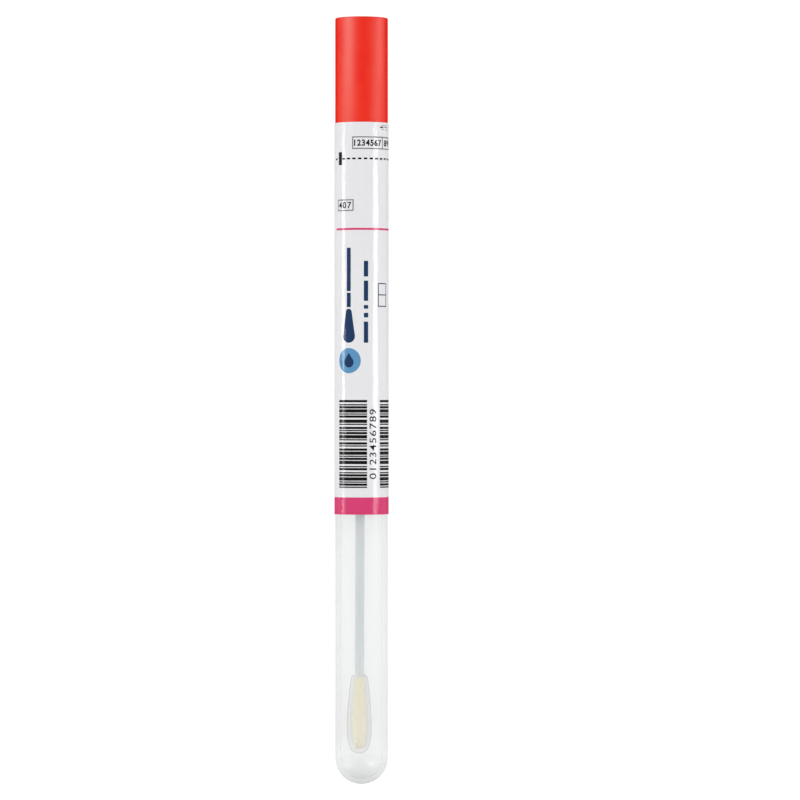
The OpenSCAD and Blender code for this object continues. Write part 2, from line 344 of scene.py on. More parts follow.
class Nodes:
    """A node tree, with short ways to add nodes and to set or link their sockets."""

    def __init__(self, tree: bpy.types.NodeTree) -> None:
        """Keeps the tree that the nodes go into."""
        self.tree = tree

    def feed(self, node: bpy.types.Node, inputs: dict[str | int, Feed]) -> None:
        """Sets or links inputs of a node.

        Args:
            node: The node.
            inputs: The value of each input, or the socket that gives it.
        """
        for label, value in inputs.items():
            socket = node.inputs[label]
            if isinstance(value, bpy.types.NodeSocket):
                self.tree.links.new(value, socket)
            else:
                socket.default_value = (*value, 1) if socket.type == "RGBA" else value

    def add(
        self, kind: str, output: str, inputs: dict[str | int, Feed] | None = None,
        **settings: object,
    ) -> bpy.types.NodeSocket:
        """Adds a node.

        Args:
            kind: What follows "ShaderNode" in the node's type.
            output: The output that is wanted.
            inputs: The node's inputs, as for feed.
            settings: The node's other settings, made before its inputs.

        Returns:
            The wanted output.
        """
        node = self.tree.nodes.new("ShaderNode" + kind)
        for label, setting in settings.items():
            setattr(node, label, setting)
        self.feed(node, inputs or {})
        return node.outputs[output]

    def maths(self, operation: str, *values: Feed, clamp: bool = False) -> bpy.types.NodeSocket:
        """The result of a calculation with numbers or sockets."""
        inputs = dict(enumerate(values))
        return self.add("Math", "Value", inputs, operation=operation, use_clamp=clamp)

    def mix(
        self, factor: Feed, first: Feed, second: Feed, kind: str = "FLOAT"
    ) -> bpy.types.NodeSocket:
        """A mix of two numbers, or of two colours where the kind is RGBA."""
        inputs = {"Factor": factor, "A": first, "B": second}
        return self.add("Mix", "Result", inputs, data_type=kind)

    def remap(
        self, value: Feed, ends: tuple[Feed, Feed] = (0.0, 1.0),
        result: tuple[Feed, Feed] = (0.0, 1.0), smooth: bool = False,
    ) -> bpy.types.NodeSocket:
        """Turns one stretch of values into another, and holds it at its ends.

        Args:
            value: The value.
            ends: Where the change begins and ends.
            result: What it begins and ends with.
            smooth: Whether it eases in and out.

        Returns:
            The socket of the new value.
        """
        inputs = {
            "Value": value, "From Min": ends[0], "From Max": ends[1],
            "To Min": result[0], "To Max": result[1],
        }
        kind = "SMOOTHSTEP" if smooth else "LINEAR"
        return self.add("MapRange", "Result", inputs, interpolation_type=kind)

    def noise(self, size: Feed, detail: float, stretch: float = 1.0) -> bpy.types.NodeSocket:
        """Noise that is fixed to the piece.

        Args:
            size: Repeats for each metre.
            detail: Number of finer layers.
            stretch: Share of the repeats that is left along the tube.

        Returns:
            The socket of the noise, from 0 to 1.
        """
        place = self.add("TexCoord", "Object")
        if stretch != 1:
            place = self.add("Mapping", "Vector", {"Vector": place, "Scale": (1, stretch, 1)})
        return self.add("TexNoise", "Fac", {"Vector": place, "Scale": size, "Detail": detail})


def start_effect(name: str, inputs: dict[str, Feed], outputs: dict[str, str]) -> Nodes:
    """Starts a node group that materials share.

    Args:
        name: Name of the group.
        inputs: Default value of each input, a number or a colour.
        outputs: Socket type of each output.

    Returns:
        The group's nodes, among them "in" and "out" for its inputs and outputs.
    """
    tree = bpy.data.node_groups.new(name, "ShaderNodeTree")
    for label, default in inputs.items():
        kind = "NodeSocketColor" if isinstance(default, tuple) else "NodeSocketFloat"
        socket = tree.interface.new_socket(name=label, in_out="INPUT", socket_type=kind)
        socket.default_value = (*default, 1) if isinstance(default, tuple) else default
    for label, kind in outputs.items():
        tree.interface.new_socket(name=label, in_out="OUTPUT", socket_type=kind)
    tree.nodes.new("NodeGroupInput").name = "in"
    tree.nodes.new("NodeGroupOutput").name = "out"
    return Nodes(tree)


def moulded_skin() -> bpy.types.NodeTree:
    """Effect of a mould on plastic: fine texture, and colour that drifts along the flow.

    Returns:
        The node group.
    """
    nodes = start_effect(
        "moulded_skin",
        {"Colour": (0.8, 0.8, 0.8), "Drift": (0.7, 0.7, 0.7), "Grain Size": 2600.0},
        {"Colour": "NodeSocketColor", "Height": "NodeSocketFloat"},
    )
    given = nodes.tree.nodes["in"].outputs
    flow = nodes.noise(size=230, detail=4, stretch=0.65)
    drift = nodes.remap(flow, ends=(0.32, 0.68), smooth=True)
    nodes.feed(nodes.tree.nodes["out"], {
        "Colour": nodes.mix(drift, given["Colour"], given["Drift"], "RGBA"),
        "Height": nodes.noise(size=given["Grain Size"], detail=2),
    })
    return nodes.tree


def wrap_ripple() -> bpy.types.NodeTree:
    """Effect of wrapping a film: low waves along the tube with small creases on them.

    Returns:
        The node group.
    """
    nodes = start_effect(
        "wrap_ripple", {"Wave": 4.0, "Crease": 2.6},
        {"Height": "NodeSocketFloat", "Haze": "NodeSocketFloat"},
    )
    given = nodes.tree.nodes["in"].outputs
    wave = nodes.maths("MULTIPLY", nodes.noise(size=340, detail=1, stretch=0.22), given["Wave"])
    crease = nodes.noise(size=950, detail=2, stretch=0.7)
    nodes.feed(nodes.tree.nodes["out"], {
        "Height": nodes.maths("MULTIPLY_ADD", crease, given["Crease"], wave), "Haze": crease,
    })
    return nodes.tree


class Surface(Nodes):
    """The nodes of one material, round its shader."""

    def __init__(self, tree: bpy.types.NodeTree, shop: "Paintshop") -> None:
        """Finds the shader.

        Args:
            tree: The material's nodes.
            shop: Holds the effects and the datum that finishes share.
        """
        super().__init__(tree)
        self.shader = tree.nodes["Principled BSDF"]
        self.shop = shop

    def put(self, inputs: dict[str, Feed]) -> None:
        """Sets or links inputs of the shader."""
        self.feed(self.shader, inputs)

    def facing(self) -> bpy.types.NodeSocket:
        """How far the surface turns away, from square on at 0 to edge on at 1."""
        return self.add("LayerWeight", "Facing", {"Blend": 0.5})

    def bump(self, height: bpy.types.NodeSocket, depth: float) -> None:
        """Shapes the skin by a height from 0 to 1, with the depth of 1 in metres."""
        normal = self.add("Bump", "Normal", {"Height": height, "Distance": depth})
        self.put({"Normal": normal})

    def skin(
        self, colour: Colour, drift: Colour, grain_size: float, grain: float
    ) -> bpy.types.NodeSocket:
        """Gives the shader the drifting colour and fine texture of a moulded skin.

        Args:
            colour: Main colour, linear.
            drift: Second colour, linear.
            grain_size: Repeats of the texture for each metre.
            grain: Height of the texture, in metres.

        Returns:
            The socket of the colour.
        """
        inputs = {"Colour": colour, "Drift": drift, "Grain Size": grain_size}
        base = self.add("Group", "Colour", inputs, node_tree=self.shop.skin)
        self.bump(base.node.outputs["Height"], grain)
        self.put({"Base Color": base})
        return base

    def fade_gloss(
        self, skin: Feed, rim: float, turned: Point = (0.33, 0.62)
    ) -> bpy.types.NodeSocket:
        """Lets the gloss spread and fade where the surface is seen edge on.

        Args:
            skin: Roughness seen square on.
            rim: Roughness seen edge on.
            turned: How far the surface turns away where the change begins and ends.

        Returns:
            The socket that rises from 0 to 1 as the surface turns away.
        """
        away = self.remap(self.facing(), turned, smooth=True)
        self.put({"Roughness": self.mix(away, skin, rim)})
        return away


# ---- Finishes ----


@dataclass(frozen=True)
class Finish:
    """What every finish has.

    Attributes:
        name: Name of the material.
        slot: The record's material slot; not used.
        colour: Main colour, linear.
    """

    name: str
    slot: str
    colour: Colour

    def dress(self, surface: Surface) -> None:
        """Builds the finish round the shader; each kind of finish has its own way."""
        raise NotImplementedError


@dataclass(frozen=True)
class Plastic(Finish):
    """A solid moulded plastic.

    Attributes:
        drift: Colour where the melt flowed a little thicker.
        roughness: Roughness of the skin.
        rim_roughness: Roughness where the skin is seen edge on.
        gloss: Specular level of the skin.
        grain: Height of the fine mould texture, in metres.
        grain_size: Repeats of the mould texture for each metre.
        soft: Share of light that spreads inside the plastic.
        soft_depth: How far it spreads, in metres.
        sheen: Weight of the soft light where the skin turns away.
        gloss_tint: Colour of the gloss, linear.
        rim_gloss: Share of the gloss that is left where the skin is seen edge on.
        turned: How far the skin turns away where its gloss begins and ends to fade.
    """

    drift: Colour
    roughness: float
    rim_roughness: float = 1.0
    gloss: float = 0.5
    grain: float = 4e-6
    grain_size: float = 2600.0
    soft: float = 0.0
    soft_depth: float = 0.002
    sheen: float = 0.0
    gloss_tint: Colour = (1.0, 1.0, 1.0)
    rim_gloss: float = 1.0
    turned: Point = (0.33, 0.62)

    def dress(self, surface: Surface) -> None:
        """Builds the plastic.

        Args:
            surface: The material's nodes.
        """
        surface.skin(self.colour, self.drift, self.grain_size, self.grain)
        away = surface.fade_gloss(self.roughness, self.rim_roughness, self.turned)
        surface.put({
            "Specular IOR Level": self.gloss, "Specular Tint": self.gloss_tint,
            "Subsurface Weight": self.soft, "Subsurface Scale": self.soft_depth,
            "Sheen Weight": self.sheen,
        })
        if self.rim_gloss != 1:
            faded = surface.mix(away, self.gloss, self.gloss * self.rim_gloss)
            surface.put({"Specular IOR Level": faded})


@dataclass(frozen=True)
class Veil(Finish):
    """A clear or fibrous skin that covers what lies behind it a little, and casts no shadow.

    Attributes:
        cover: Points (facing, cover): how much one surface covers, from seen
            square on at 0 to seen edge on at 1.
        haze_and_painted_shade: Extra cover at the tip of the round bottom: painted shade that
            darkens the tip.
        painted_shade_l: Length of that painted shade from the tip, in metres.
        roughness: Roughness of the surface.
        gloss: Specular level.
        drift: Share of the colour's light where the melt flowed a little thicker.
        grain: Height of the fine texture, in metres.
        grain_size: Repeats of the texture for each metre.
    """

    cover: tuple[Point, ...]
    haze_and_painted_shade: float = 0.0
    painted_shade_l: float = 0.008
    roughness: float = 0.3
    gloss: float = 0.3
    drift: float = 0.97
    grain: float = 3e-6
    grain_size: float = 900.0

    def dress(self, surface: Surface) -> None:
        """Builds the veil.

        Args:
            surface: The material's nodes.
        """
        drift = tuple(self.drift * c for c in self.colour)
        surface.skin(self.colour, drift, self.grain_size, self.grain)
        cover = surface.add("ValToRGB", "Color", {"Fac": surface.facing()})
        ramp = cover.node.color_ramp
        while len(ramp.elements) < len(self.cover):
            ramp.elements.new(0.5)
        for element, (facing, share) in zip(ramp.elements, self.cover):
            element.position = facing
            element.color = (share, share, share, 1)
        # Painted shade: extra grey cover that rises towards the tip of the round bottom and
        # darkens it.
        if self.haze_and_painted_shade:
            foot = surface.shop.datum.foot_y
            along = surface.add(
                "SeparateXYZ", "Y", {"Vector": surface.add("TexCoord", "Object")}
            )
            haze_and_painted_shade = surface.remap(along, (foot + self.painted_shade_l, foot), (0.0, self.haze_and_painted_shade), smooth=True)
            cover = surface.maths("ADD", cover, haze_and_painted_shade, clamp=True)
        shadow = surface.add("LightPath", "Is Shadow Ray")
        shown = surface.remap(shadow, result=(1.0, 0.0))
        surface.put({
            "Alpha": surface.maths("MULTIPLY", cover, shown), "Specular IOR Level": self.gloss,
        })
        surface.fade_gloss(self.roughness, 1.0)


@dataclass(frozen=True)
class Film(Finish):
    """A glossy film, bare or printed.

    Attributes:
        roughness: Roughness of the gloss.
        haze_and_painted_shade: Shares of the roughness between which the creases vary it.
        rim_roughness: Roughness where the film is seen edge on.
        gloss: Specular level.
        ior: Index of refraction.
        ripple: Height of the waves that the wrapping leaves, in metres.
    """

    roughness: float = 0.13
    haze_and_painted_shade: Point = (0.8, 1.25)
    rim_roughness: float = 0.9
    gloss: float = 0.15
    ior: float = 1.5
    ripple: float = 2.2e-5

    def dress(self, surface: Surface) -> None:
        """Builds the film or the ink on it.

        Args:
            surface: The material's nodes.
        """
        height = surface.add("Group", "Height", node_tree=surface.shop.ripple)
        surface.bump(height, self.ripple)
        ends = (self.roughness * self.haze_and_painted_shade[0], self.roughness * self.haze_and_painted_shade[1])
        haze_and_painted_shade = surface.remap(height.node.outputs["Haze"], result=ends)
        surface.fade_gloss(haze_and_painted_shade, self.rim_roughness)
        surface.put({"Specular IOR Level": self.gloss, "IOR": self.ior})


@dataclass(frozen=True)
class Flock(Finish):
    """Short fibres, or the bed that they stand in.

    Attributes:
        mottle: Second colour that the skin drifts to at random, linear.
        root: Colour near the stick, where it differs.
        root_ends: Distances from the swab's axis at which it begins and ends to fade,
            in metres.
        sheen: Weight of the soft light on the fibres' sides.
        sheen_roughness: How far that light spreads.
        roughness: Roughness of the fibres.
        gloss: Specular level.
        grain: Height of the texture, in metres.
        grain_size: Repeats of the texture for each metre.
    """

    mottle: Colour
    root: Colour | None = None
    root_ends: Point = (0.0010, 0.0019)
    sheen: float = 1.0
    sheen_roughness: float = 0.85
    roughness: float = 0.9
    gloss: float = 0.2
    grain: float = 4e-5
    grain_size: float = 5200.0

    def dress(self, surface: Surface) -> None:
        """Builds the flock.

        Args:
            surface: The material's nodes.
        """
        base = surface.skin(self.colour, self.mottle, self.grain_size, self.grain)
        if self.root:
            across = surface.add("Mapping", "Vector", {
                "Vector": surface.add("TexCoord", "Object"),
                "Location": (-HEAD_ASIDE, 0, -surface.shop.datum.axis_h), "Scale": (1, 0, 1),
            })
            reach = surface.add("VectorMath", "Value", {0: across}, operation="LENGTH")
            rise = surface.remap(reach, self.root_ends)
            surface.put({"Base Color": surface.mix(rise, self.root, base, "RGBA")})
        surface.put({
            "Roughness": self.roughness, "Specular IOR Level": self.gloss,
            "Sheen Weight": self.sheen, "Sheen Roughness": self.sheen_roughness,
        })


CAP_RED = Plastic(
    "cap_red", "cap_plastic", (0.83, 0.021, 0.005), (0.82, 0.009, 0.002), 0.5, gloss=0.15,
    soft=0.04, gloss_tint=(0.7, 1.0, 0.88), rim_gloss=0.2, turned=(0.42, 0.74),
)
STICK_WHITE = Plastic(
    "stick_white", "stick_plastic", (0.69, 0.725, 0.733), (0.67, 0.705, 0.713), 0.34, gloss=0.3,
    sheen=0.18,
)
MARK_RED = Plastic(
    "mark_red", "red_ink", (0.76, 0.005, 0.006), (0.66, 0.004, 0.005), 0.5, grain=2e-6
)
# The tubes' extra cover at the tip is painted shade at the round bottom.
TUBE_OUTSIDE = Veil(
    "tube_outside", "tube_plastic", (0.70, 0.73, 0.73),
    ((0.0, 0.09), (0.36, 0.11), (0.46, 0.22), (0.85, 0.28), (1.0, 0.38)), haze_and_painted_shade=0.19,
)
TUBE_BORE = Veil(
    "tube_bore", "tube_plastic", (0.70, 0.73, 0.73),
    ((0.0, 0.07), (0.42, 0.08), (0.65, 0.09), (0.85, 0.10), (1.0, 0.10)), haze_and_painted_shade=0.19,
)
FILM_WHITE = Film("film_white", "label_film", (0.775, 0.773, 0.79))
INK_PINK = Film("ink_pink", "pink_ink", (0.648, 0.045, 0.160))
INK_BLACK = Film("ink_black", "black_ink", (0.003, 0.003, 0.003), gloss=0.1)
INK_NAVY = Film("ink_navy", "navy_ink", (0.006, 0.034, 0.105))
INK_BLUE = Film("ink_blue", "blue_ink", (0.10, 0.28, 0.50))
INK_GREY = Film("ink_grey", "black_ink", (0.20, 0.20, 0.205), gloss=0.1)
FLOCK_BED = Flock("flock_cream", "flock", (0.855, 0.788, 0.53), (0.835, 0.757, 0.48))
FLOCK_FIBRE = Flock(
    "flock_fibre", "flock", (0.99, 0.99, 0.98), (0.97, 0.97, 0.95), root=(0.95, 0.93, 0.80)
)
# The coat's grey cover rises towards the head's rim: partly the fibres' fuzz seen edge on, partly
# painted shade, a grey ring round the head and grey round the bed. The collar keeps almost none.
FLOCK_COAT_AND_SHADE = Veil(
    "flock_coat_and_shade", "flock", (0.60, 0.605, 0.62),
    ((0.0, 0.0), (0.48, 0.0), (0.60, 0.11), (0.74, 0.33), (1.0, 0.36)), roughness=0.8,
)
FLOCK_COLLAR = Veil(
    "flock_collar", "flock", (0.85, 0.85, 0.84), ((0.0, 0.0), (0.5, 0.02), (1.0, 0.05)),
    roughness=0.8,
)


class Paintshop:
    """Makes each material once, and holds the effects that they share."""

    def __init__(self, datum: Datum) -> None:
        """Builds the shared effects.

        Args:
            datum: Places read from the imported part.
        """
        self.datum = datum
        self.skin = moulded_skin()
        self.ripple = wrap_ripple()
        self.made: dict[str, bpy.types.Material] = {}

    def material(self, finish: Finish) -> bpy.types.Material:
        """Makes the material of a finish, unless it is there already.

        Args:
            finish: The finish.

        Returns:
            The material.
        """
        if finish.name not in self.made:
            made = bpy.data.materials.new(finish.name)
            made.use_nodes = True
            made.diffuse_color = (*finish.colour, 1)
            surface = Surface(made.node_tree, self)
            surface.put({"Base Color": finish.colour})
            finish.dress(surface)
            self.made[finish.name] = made
        return self.made[finish.name]


# ---- The bench that a piece is placed with ----


@dataclass
class Bench:
    """Places and dresses finished pieces.

    Attributes:
        datum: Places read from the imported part.
        paint: The materials.
        placed: Each piece placed so far, with its body.
    """

    datum: Datum
    paint: Paintshop
    placed: list[tuple[bpy.types.Object, Body]] = field(default_factory=list)

    def place(
        self, obj: bpy.types.Object, body: Body, finishes: tuple[Finish, ...] | Finish,
        replaces: tuple[str, ...] = (),
    ) -> bpy.types.Object:
        """Lays a piece down, dresses it and ties it to its body.

        Args:
            obj: The upright piece.
            body: The body that it rides on.
            finishes: Its finish, or one for each of its material places.
            replaces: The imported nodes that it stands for.

        Returns:
            The piece.
        """
        several = finishes if isinstance(finishes, tuple) else (finishes,)
        move(obj, self.datum.lay())
        obj.data.materials.clear()
        for finish in several:
            obj.data.materials.append(self.paint.material(finish))
        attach(obj, body.value)
        if replaces:
            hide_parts(*replaces)
        self.placed.append((obj, body))
        return obj


# ---- The tube ----


@dataclass
class SpecimenTube:
    """The round-bottomed tube.

    Attributes:
        radius: Outer radius.
        wall: Thickness of wall and floor.
        chamfer: Lead-in at the mouth.
        rim_round: Radius of the mouth's outer edge.
    """

    radius: float = 5.75
    wall: float = 1.05
    chamfer: float = 0.4
    rim_round: float = 0.12

    def profile(self, mouth: float) -> list[Point]:
        """Half section of the tube, from the outer pole to the inner one.

        Args:
            mouth: Height of the mouth.

        Returns:
            The section.
        """
        bore = self.radius - self.wall
        middle = (0.0, self.radius)
        outer = arc(middle, self.radius, -90, 0, steps=28)
        inner = arc(middle, bore, 0, -90, steps=24)
        corner = (self.radius - self.rim_round, mouth - self.rim_round)
        return [
            (0, 0), *outer[1:], *arc(corner, self.rim_round, 0, 90, steps=4),
            (bore + self.chamfer, mouth), (bore, mouth - self.chamfer),
            *inner[:-1], (0, self.wall),
        ]

    def build(self, bench: Bench) -> None:
        """Turns the tube and places it, with its bore's faces in their own finish.

        Args:
            bench: Places and dresses the piece.
        """
        tube = turn("tube_body", self.profile(bench.datum.mouth))
        bench.place(tube, Body.TUBE, (TUBE_OUTSIDE, TUBE_BORE), ("tube",))
        axis_h = bench.datum.axis_h
        centre_y = bench.datum.foot_y + self.radius * MM

        def faces_axis(face: bpy.types.MeshPolygon) -> bool:
            """Whether a face of the lying tube looks towards its axis."""
            nearest = Vector((0, max(face.center.y, centre_y), axis_h))
            return (face.center - nearest).dot(face.normal) < 0

        split_faces(tube, faces_axis)


# ---- The cap ----


@dataclass
class PushCap:
    """The cap: grip, plug with sealing beads, and the swab's socket.

    Attributes:
        grip_r: Radius of the grip.
        edge: Radius of the grip's upper edge.
        shoulder_round: Radius of the shoulder's outer edge.
        top_ring: Radius of a ring of edges that keeps the top flat.
        roof: Thickness of the closed top.
        plug_r: Radius of the plug between its beads.
        plug_l: Length of the plug.
        plug_chamfer: Chamfer at the plug's end.
        plug_bore: Radius of the hollow.
        bead_z: Heights of the beads from the mouth.
        bead_r: Radius of a bead's section.
        bead_h: Height of a bead.
        socket_r: Outer radius of the socket.
        socket_bore: Radius of the socket's bore.
        socket_chamfer: Lead-in of the socket.
        seat: Height of the swab's seat from the mouth.
    """

    grip_r: float = 5.75
    edge: float = 0.2
    shoulder_round: float = 0.12
    top_ring: float = 2.0
    roof: float = 1.3
    plug_r: float = 4.45
    plug_l: float = 12.0
    plug_chamfer: float = 0.3
    plug_bore: float = 3.75
    bead_z: tuple[float, ...] = (-2.5, -5.5, -8.5)
    bead_r: float = 0.5
    bead_h: float = 0.2
    socket_r: float = 2.2
    socket_bore: float = 1.4
    socket_chamfer: float = 0.2
    seat: float = 22.3

    def profile(self, grip_l: float) -> list[Point]:
        """Half section of the cap, from the outer pole to the seat's.

        Args:
            grip_l: Length of the grip above the mouth.

        Returns:
            The section, with the mouth at height 0.
        """
        reach = math.degrees(math.acos((self.bead_r - self.bead_h) / self.bead_r))
        bead_centre = self.plug_r + self.bead_h - self.bead_r
        beads = [
            point
            for z in self.bead_z
            for point in arc((bead_centre, z), self.bead_r, reach, -reach, steps=10)
        ]
        rim, rounded = self.edge, self.shoulder_round
        ceiling = grip_l - self.roof
        lip = self.seat - SOCKET_L
        dome = (0, self.seat - self.socket_bore + SOCKET_PLAY)
        return [
            (0, grip_l),
            (self.top_ring, grip_l),
            *arc((self.grip_r - rim, grip_l - rim), rim, 90, 0, steps=8),
            *arc((self.grip_r - rounded, rounded), rounded, 0, -90, steps=4),
            (self.plug_r, 0),
            *beads,
            (self.plug_r, -self.plug_l + self.plug_chamfer),
            (self.plug_r - self.plug_chamfer, -self.plug_l),
            (self.plug_bore, -self.plug_l),
            (self.plug_bore, ceiling),
            (self.socket_r, ceiling),
            (self.socket_r, lip),
            (self.socket_bore + self.socket_chamfer, lip),
            (self.socket_bore, lip + self.socket_chamfer),
            *arc(dome, self.socket_bore, 0, 90, steps=10)[:-1],
            (0, self.seat + SOCKET_PLAY),
        ]

    def build(self, bench: Bench) -> None:
        """Turns the cap and places it.

        Args:
            bench: Places and dresses the piece.
        """
        mouth = bench.datum.mouth
        section = self.profile(bench.datum.top - mouth)
        cap = turn("cap_moulding", [(radius, mouth + height) for radius, height in section])
        bench.place(cap, Body.CAP, CAP_RED, ("cap",))


# ---- The swab ----


@dataclass
class Swab:
    """The flocked swab: stick with its breakpoint, ink in the groove, and the head.

    Attributes:
        length: From the tip to the round end of the handle.
        stick_r: Radius of the thin stick.
        handle_r: Radius of the handle.
        step: Height of the step where the handle begins.
        step_l: Length of the step's taper.
        break_at: Height of the breakpoint.
        break_depth: Depth of its groove.
        break_w: Width of its groove.
        ink_arc: Angle that the ink covers.
        ink_proud: How far the ink stands out of the groove.
        ink_skin: Thickness of the ink.
        head_l: Length of the head.
        head_r: Largest radius of the head.
        thick_at: Height of the thickest place.
        neck_r: Radius where the head rounds off to the stick.
        shoulder_l: Length of the round shoulder.
        collar_r: Radius round the stick within which the shoulder's coat keeps almost none of its
            painted shade.
        nose_power: Bluntness of the nose.
        neck_power: How late the head thins to the neck.
        flock_t: Length of the fibres, down to the stick's bulb.
        bed_depth: How deep the fibres' bed lies under their ends.
        bed_end: How far below the shoulder's top the bed ends.
        bed_rim: How far the bed's rim stands off the stick.
        bed_lip: Radius of the rim's round edge.
        bed_clear: Stretch below the bed's top that is left to the round edge.
        bed_sink: How deep the bed's inner end reaches into the stick.
        bed_plug: Length of that end.
        fibres: Number of fibres.
        fibre_r: Radius of a fibre's foot.
        fibre_root: How deep the foot stands in the bed.
        fibre_reach: Shortest and longest fibre, as shares of the bed's depth.
        fibre_comb: How far the fibres part from standing straight.
        fibre_clear: Stretch below the head's top without feet.
        fibre_corners: Angles of the corners of a fibre's foot, in radians.
        fibre_seed: Seed of the draws that place the fibres.
        slope_rise: Height over which the bed's slope is measured.
        slope_most: Slope above which steeper ground gets no more fibres.
        crowding: Room at which every drawn fibre is planted.
    """

    length: float = 152.0
    stick_r: float = 1.0
    handle_r: float = 1.35
    step: float = 53.0
    step_l: float = 0.6
    break_at: float = 80.0
    break_depth: float = 0.3
    break_w: float = 1.2
    ink_arc: float = 170.0
    ink_proud: float = 0.012
    ink_skin: float = 0.03
    head_l: float = 17.2
    head_r: float = 2.7
    thick_at: float = 6.0
    neck_r: float = 1.9
    shoulder_l: float = 1.0
    collar_r: float = 1.25
    nose_power: float = 2.6
    neck_power: float = 1.6
    flock_t: float = 1.1
    bed_depth: float = 1.05
    bed_end: float = 0.6
    bed_rim: float = 0.05
    bed_lip: float = 0.2
    bed_clear: float = 0.3
    bed_sink: float = 0.06
    bed_plug: float = 1.0
    fibres: int = 5200
    fibre_r: float = 0.016
    fibre_root: float = 0.03
    fibre_reach: Point = (0.82, 1.0)
    fibre_comb: float = 0.16
    fibre_clear: float = 0.1
    fibre_corners: tuple[float, ...] = (0.0, 2.1, 4.2)
    fibre_seed: int = 41
    slope_rise: float = 0.05
    slope_most: float = 4.0
    crowding: float = 1.6

    @property
    def shoulder_low(self) -> float:
        """Height at which the head's round shoulder begins."""
        return self.head_l - self.shoulder_l

    def egg(self, height: float, inset: float) -> float:
        """Radius of the head at a height.

        Args:
            height: Height above the swab's tip.
            inset: How far the surface lies inside the fibres' ends.

        Returns:
            The radius.
        """
        thick = self.head_r - inset
        if height < self.thick_at:
            share = (self.thick_at - height) / (self.thick_at - inset)
            return thick * max(0.0, 1 - share**self.nose_power) ** (1 / self.nose_power)
        share = (height - self.thick_at) / (self.shoulder_low - self.thick_at)
        return thick - (self.head_r - self.neck_r) * share**self.neck_power

    def head_profile(self, inset: float) -> list[Point]:
        """Half section of the head, from its pole to where its shoulder begins.

        Args:
            inset: How far the surface lies inside the fibres' ends.

        Returns:
            The section.
        """
        nose_steps, body_steps = 15, 12
        nose = [
            inset + (self.thick_at - inset) * (1 - math.cos(math.radians(90 / nose_steps * i)))
            for i in range(1, nose_steps + 1)
        ]
        rise = self.head_l - self.shoulder_l - self.thick_at
        body = [self.thick_at + rise * i / body_steps for i in range(1, body_steps + 1)]
        return [
            (0.0, inset),
            *((self.egg(z, inset), z) for z in nose),
            *((max(self.stick_r, self.egg(z, inset)), z) for z in body),
        ]

    def shoulder(self) -> list[Point]:
        """Half section of the head's round shoulder, down to the stick.

        Returns:
            The section.
        """
        steps = 5
        angles = [math.radians(90 / steps * i) for i in range(1, steps + 1)]
        width = self.neck_r - self.stick_r
        return [
            (self.stick_r + width * math.cos(a), self.shoulder_low + self.shoulder_l * math.sin(a))
            for a in angles
        ]

    def bed_profile(self) -> list[Point]:
        """Half section of the bed, which fits closely over the stick at the head's upper end.

        Returns:
            The section.
        """
        rim = self.stick_r + self.bed_rim
        core = self.stick_r - self.bed_sink
        top = self.head_l - self.bed_end
        below = top - self.bed_clear
        egg = [point for point in self.head_profile(self.bed_depth) if point[1] < below]
        return [
            *((radius if z < self.thick_at else max(rim, radius), z) for radius, z in egg),
            *arc((rim - self.bed_lip, top - self.bed_lip), self.bed_lip, 0, 60, steps=4),
            (core, top),
            (core, top - self.bed_plug),
            (0, top - self.bed_plug),
        ]

    def stick_profile(self) -> list[Point]:
        """Half section of the bare stick.

        Returns:
            The section.
        """
        half = self.break_w / 2
        return [
            *self.head_profile(self.flock_t),
            (self.stick_r, self.head_l),
            (self.stick_r, self.step),
            (self.handle_r, self.step + self.step_l),
            (self.handle_r, self.break_at - half),
            (self.handle_r - self.break_depth, self.break_at),
            (self.handle_r, self.break_at + half),
            *arc((0, self.length - self.handle_r), self.handle_r, 0, 90, steps=10)[:-1],
            (0, self.length),
        ]

    def hang(self, obj: bpy.types.Object, tip: float) -> None:
        """Lets an upright piece lean in the cap's socket.

        Args:
            obj: The piece.
            tip: Height of the swab's tip.
        """
        pivot = Vector((0, 0, tip + self.length - SOCKET_L / 2))
        lean = Matrix.Rotation(SWAB_LEAN, 4, "Y")
        move(obj, Matrix.Translation(pivot) @ lean @ Matrix.Translation(-pivot))

    def turn_piece(self, name: str, tip: float, section: list[Point]) -> bpy.types.Object:
        """Turns a half section that starts at the swab's tip, and hangs it.

        Args:
            name: Name of the piece.
            tip: Height of the swab's tip.
            section: The half section.

        Returns:
            The piece.
        """
        piece = turn(name, [(radius, tip + height) for radius, height in section], SMALL_SEGMENTS)
        self.hang(piece, tip)
        return piece

    def build_ink(self, bench: Bench) -> None:
        """Spins the ink that lies in the groove.

        Args:
            bench: Places and dresses the piece.
        """
        half = self.break_w / 2
        rim = self.handle_r + self.ink_proud
        floor = rim - self.break_depth
        middle = (0, 0, bench.datum.tip + self.break_at)
        clear_selection()
        bpy.ops.mesh.primitive_plane_add(size=1, location=middle)
        ink = named("breakpoint_ink")
        keep_place()
        bpy.ops.object.mode_set(mode="EDIT")
        bpy.ops.mesh.select_all(action="SELECT")
        bpy.ops.mesh.merge(type="CENTER")
        bpy.ops.transform.translate(value=(rim, 0, half))
        for move_r in (floor - rim, rim - floor):
            fall = {"value": (move_r, 0, -half)}
            bpy.ops.mesh.extrude_region_move(TRANSFORM_OT_translate=fall)
        bpy.ops.mesh.select_all(action="SELECT")
        quarter = math.radians(90)
        bpy.ops.transform.rotate(value=quarter, orient_axis="Z", center_override=middle)
        bpy.ops.mesh.spin(
            steps=36, angle=math.radians(self.ink_arc), center=middle, axis=(0, 0, 1)
        )
        bpy.ops.object.mode_set(mode="OBJECT")
        thicken(ink, self.ink_skin, 0)
        finish_surface(ink)
        self.hang(ink, bench.datum.tip)
        bench.place(ink, Body.CAP, MARK_RED, ("breakpoint_mark",))

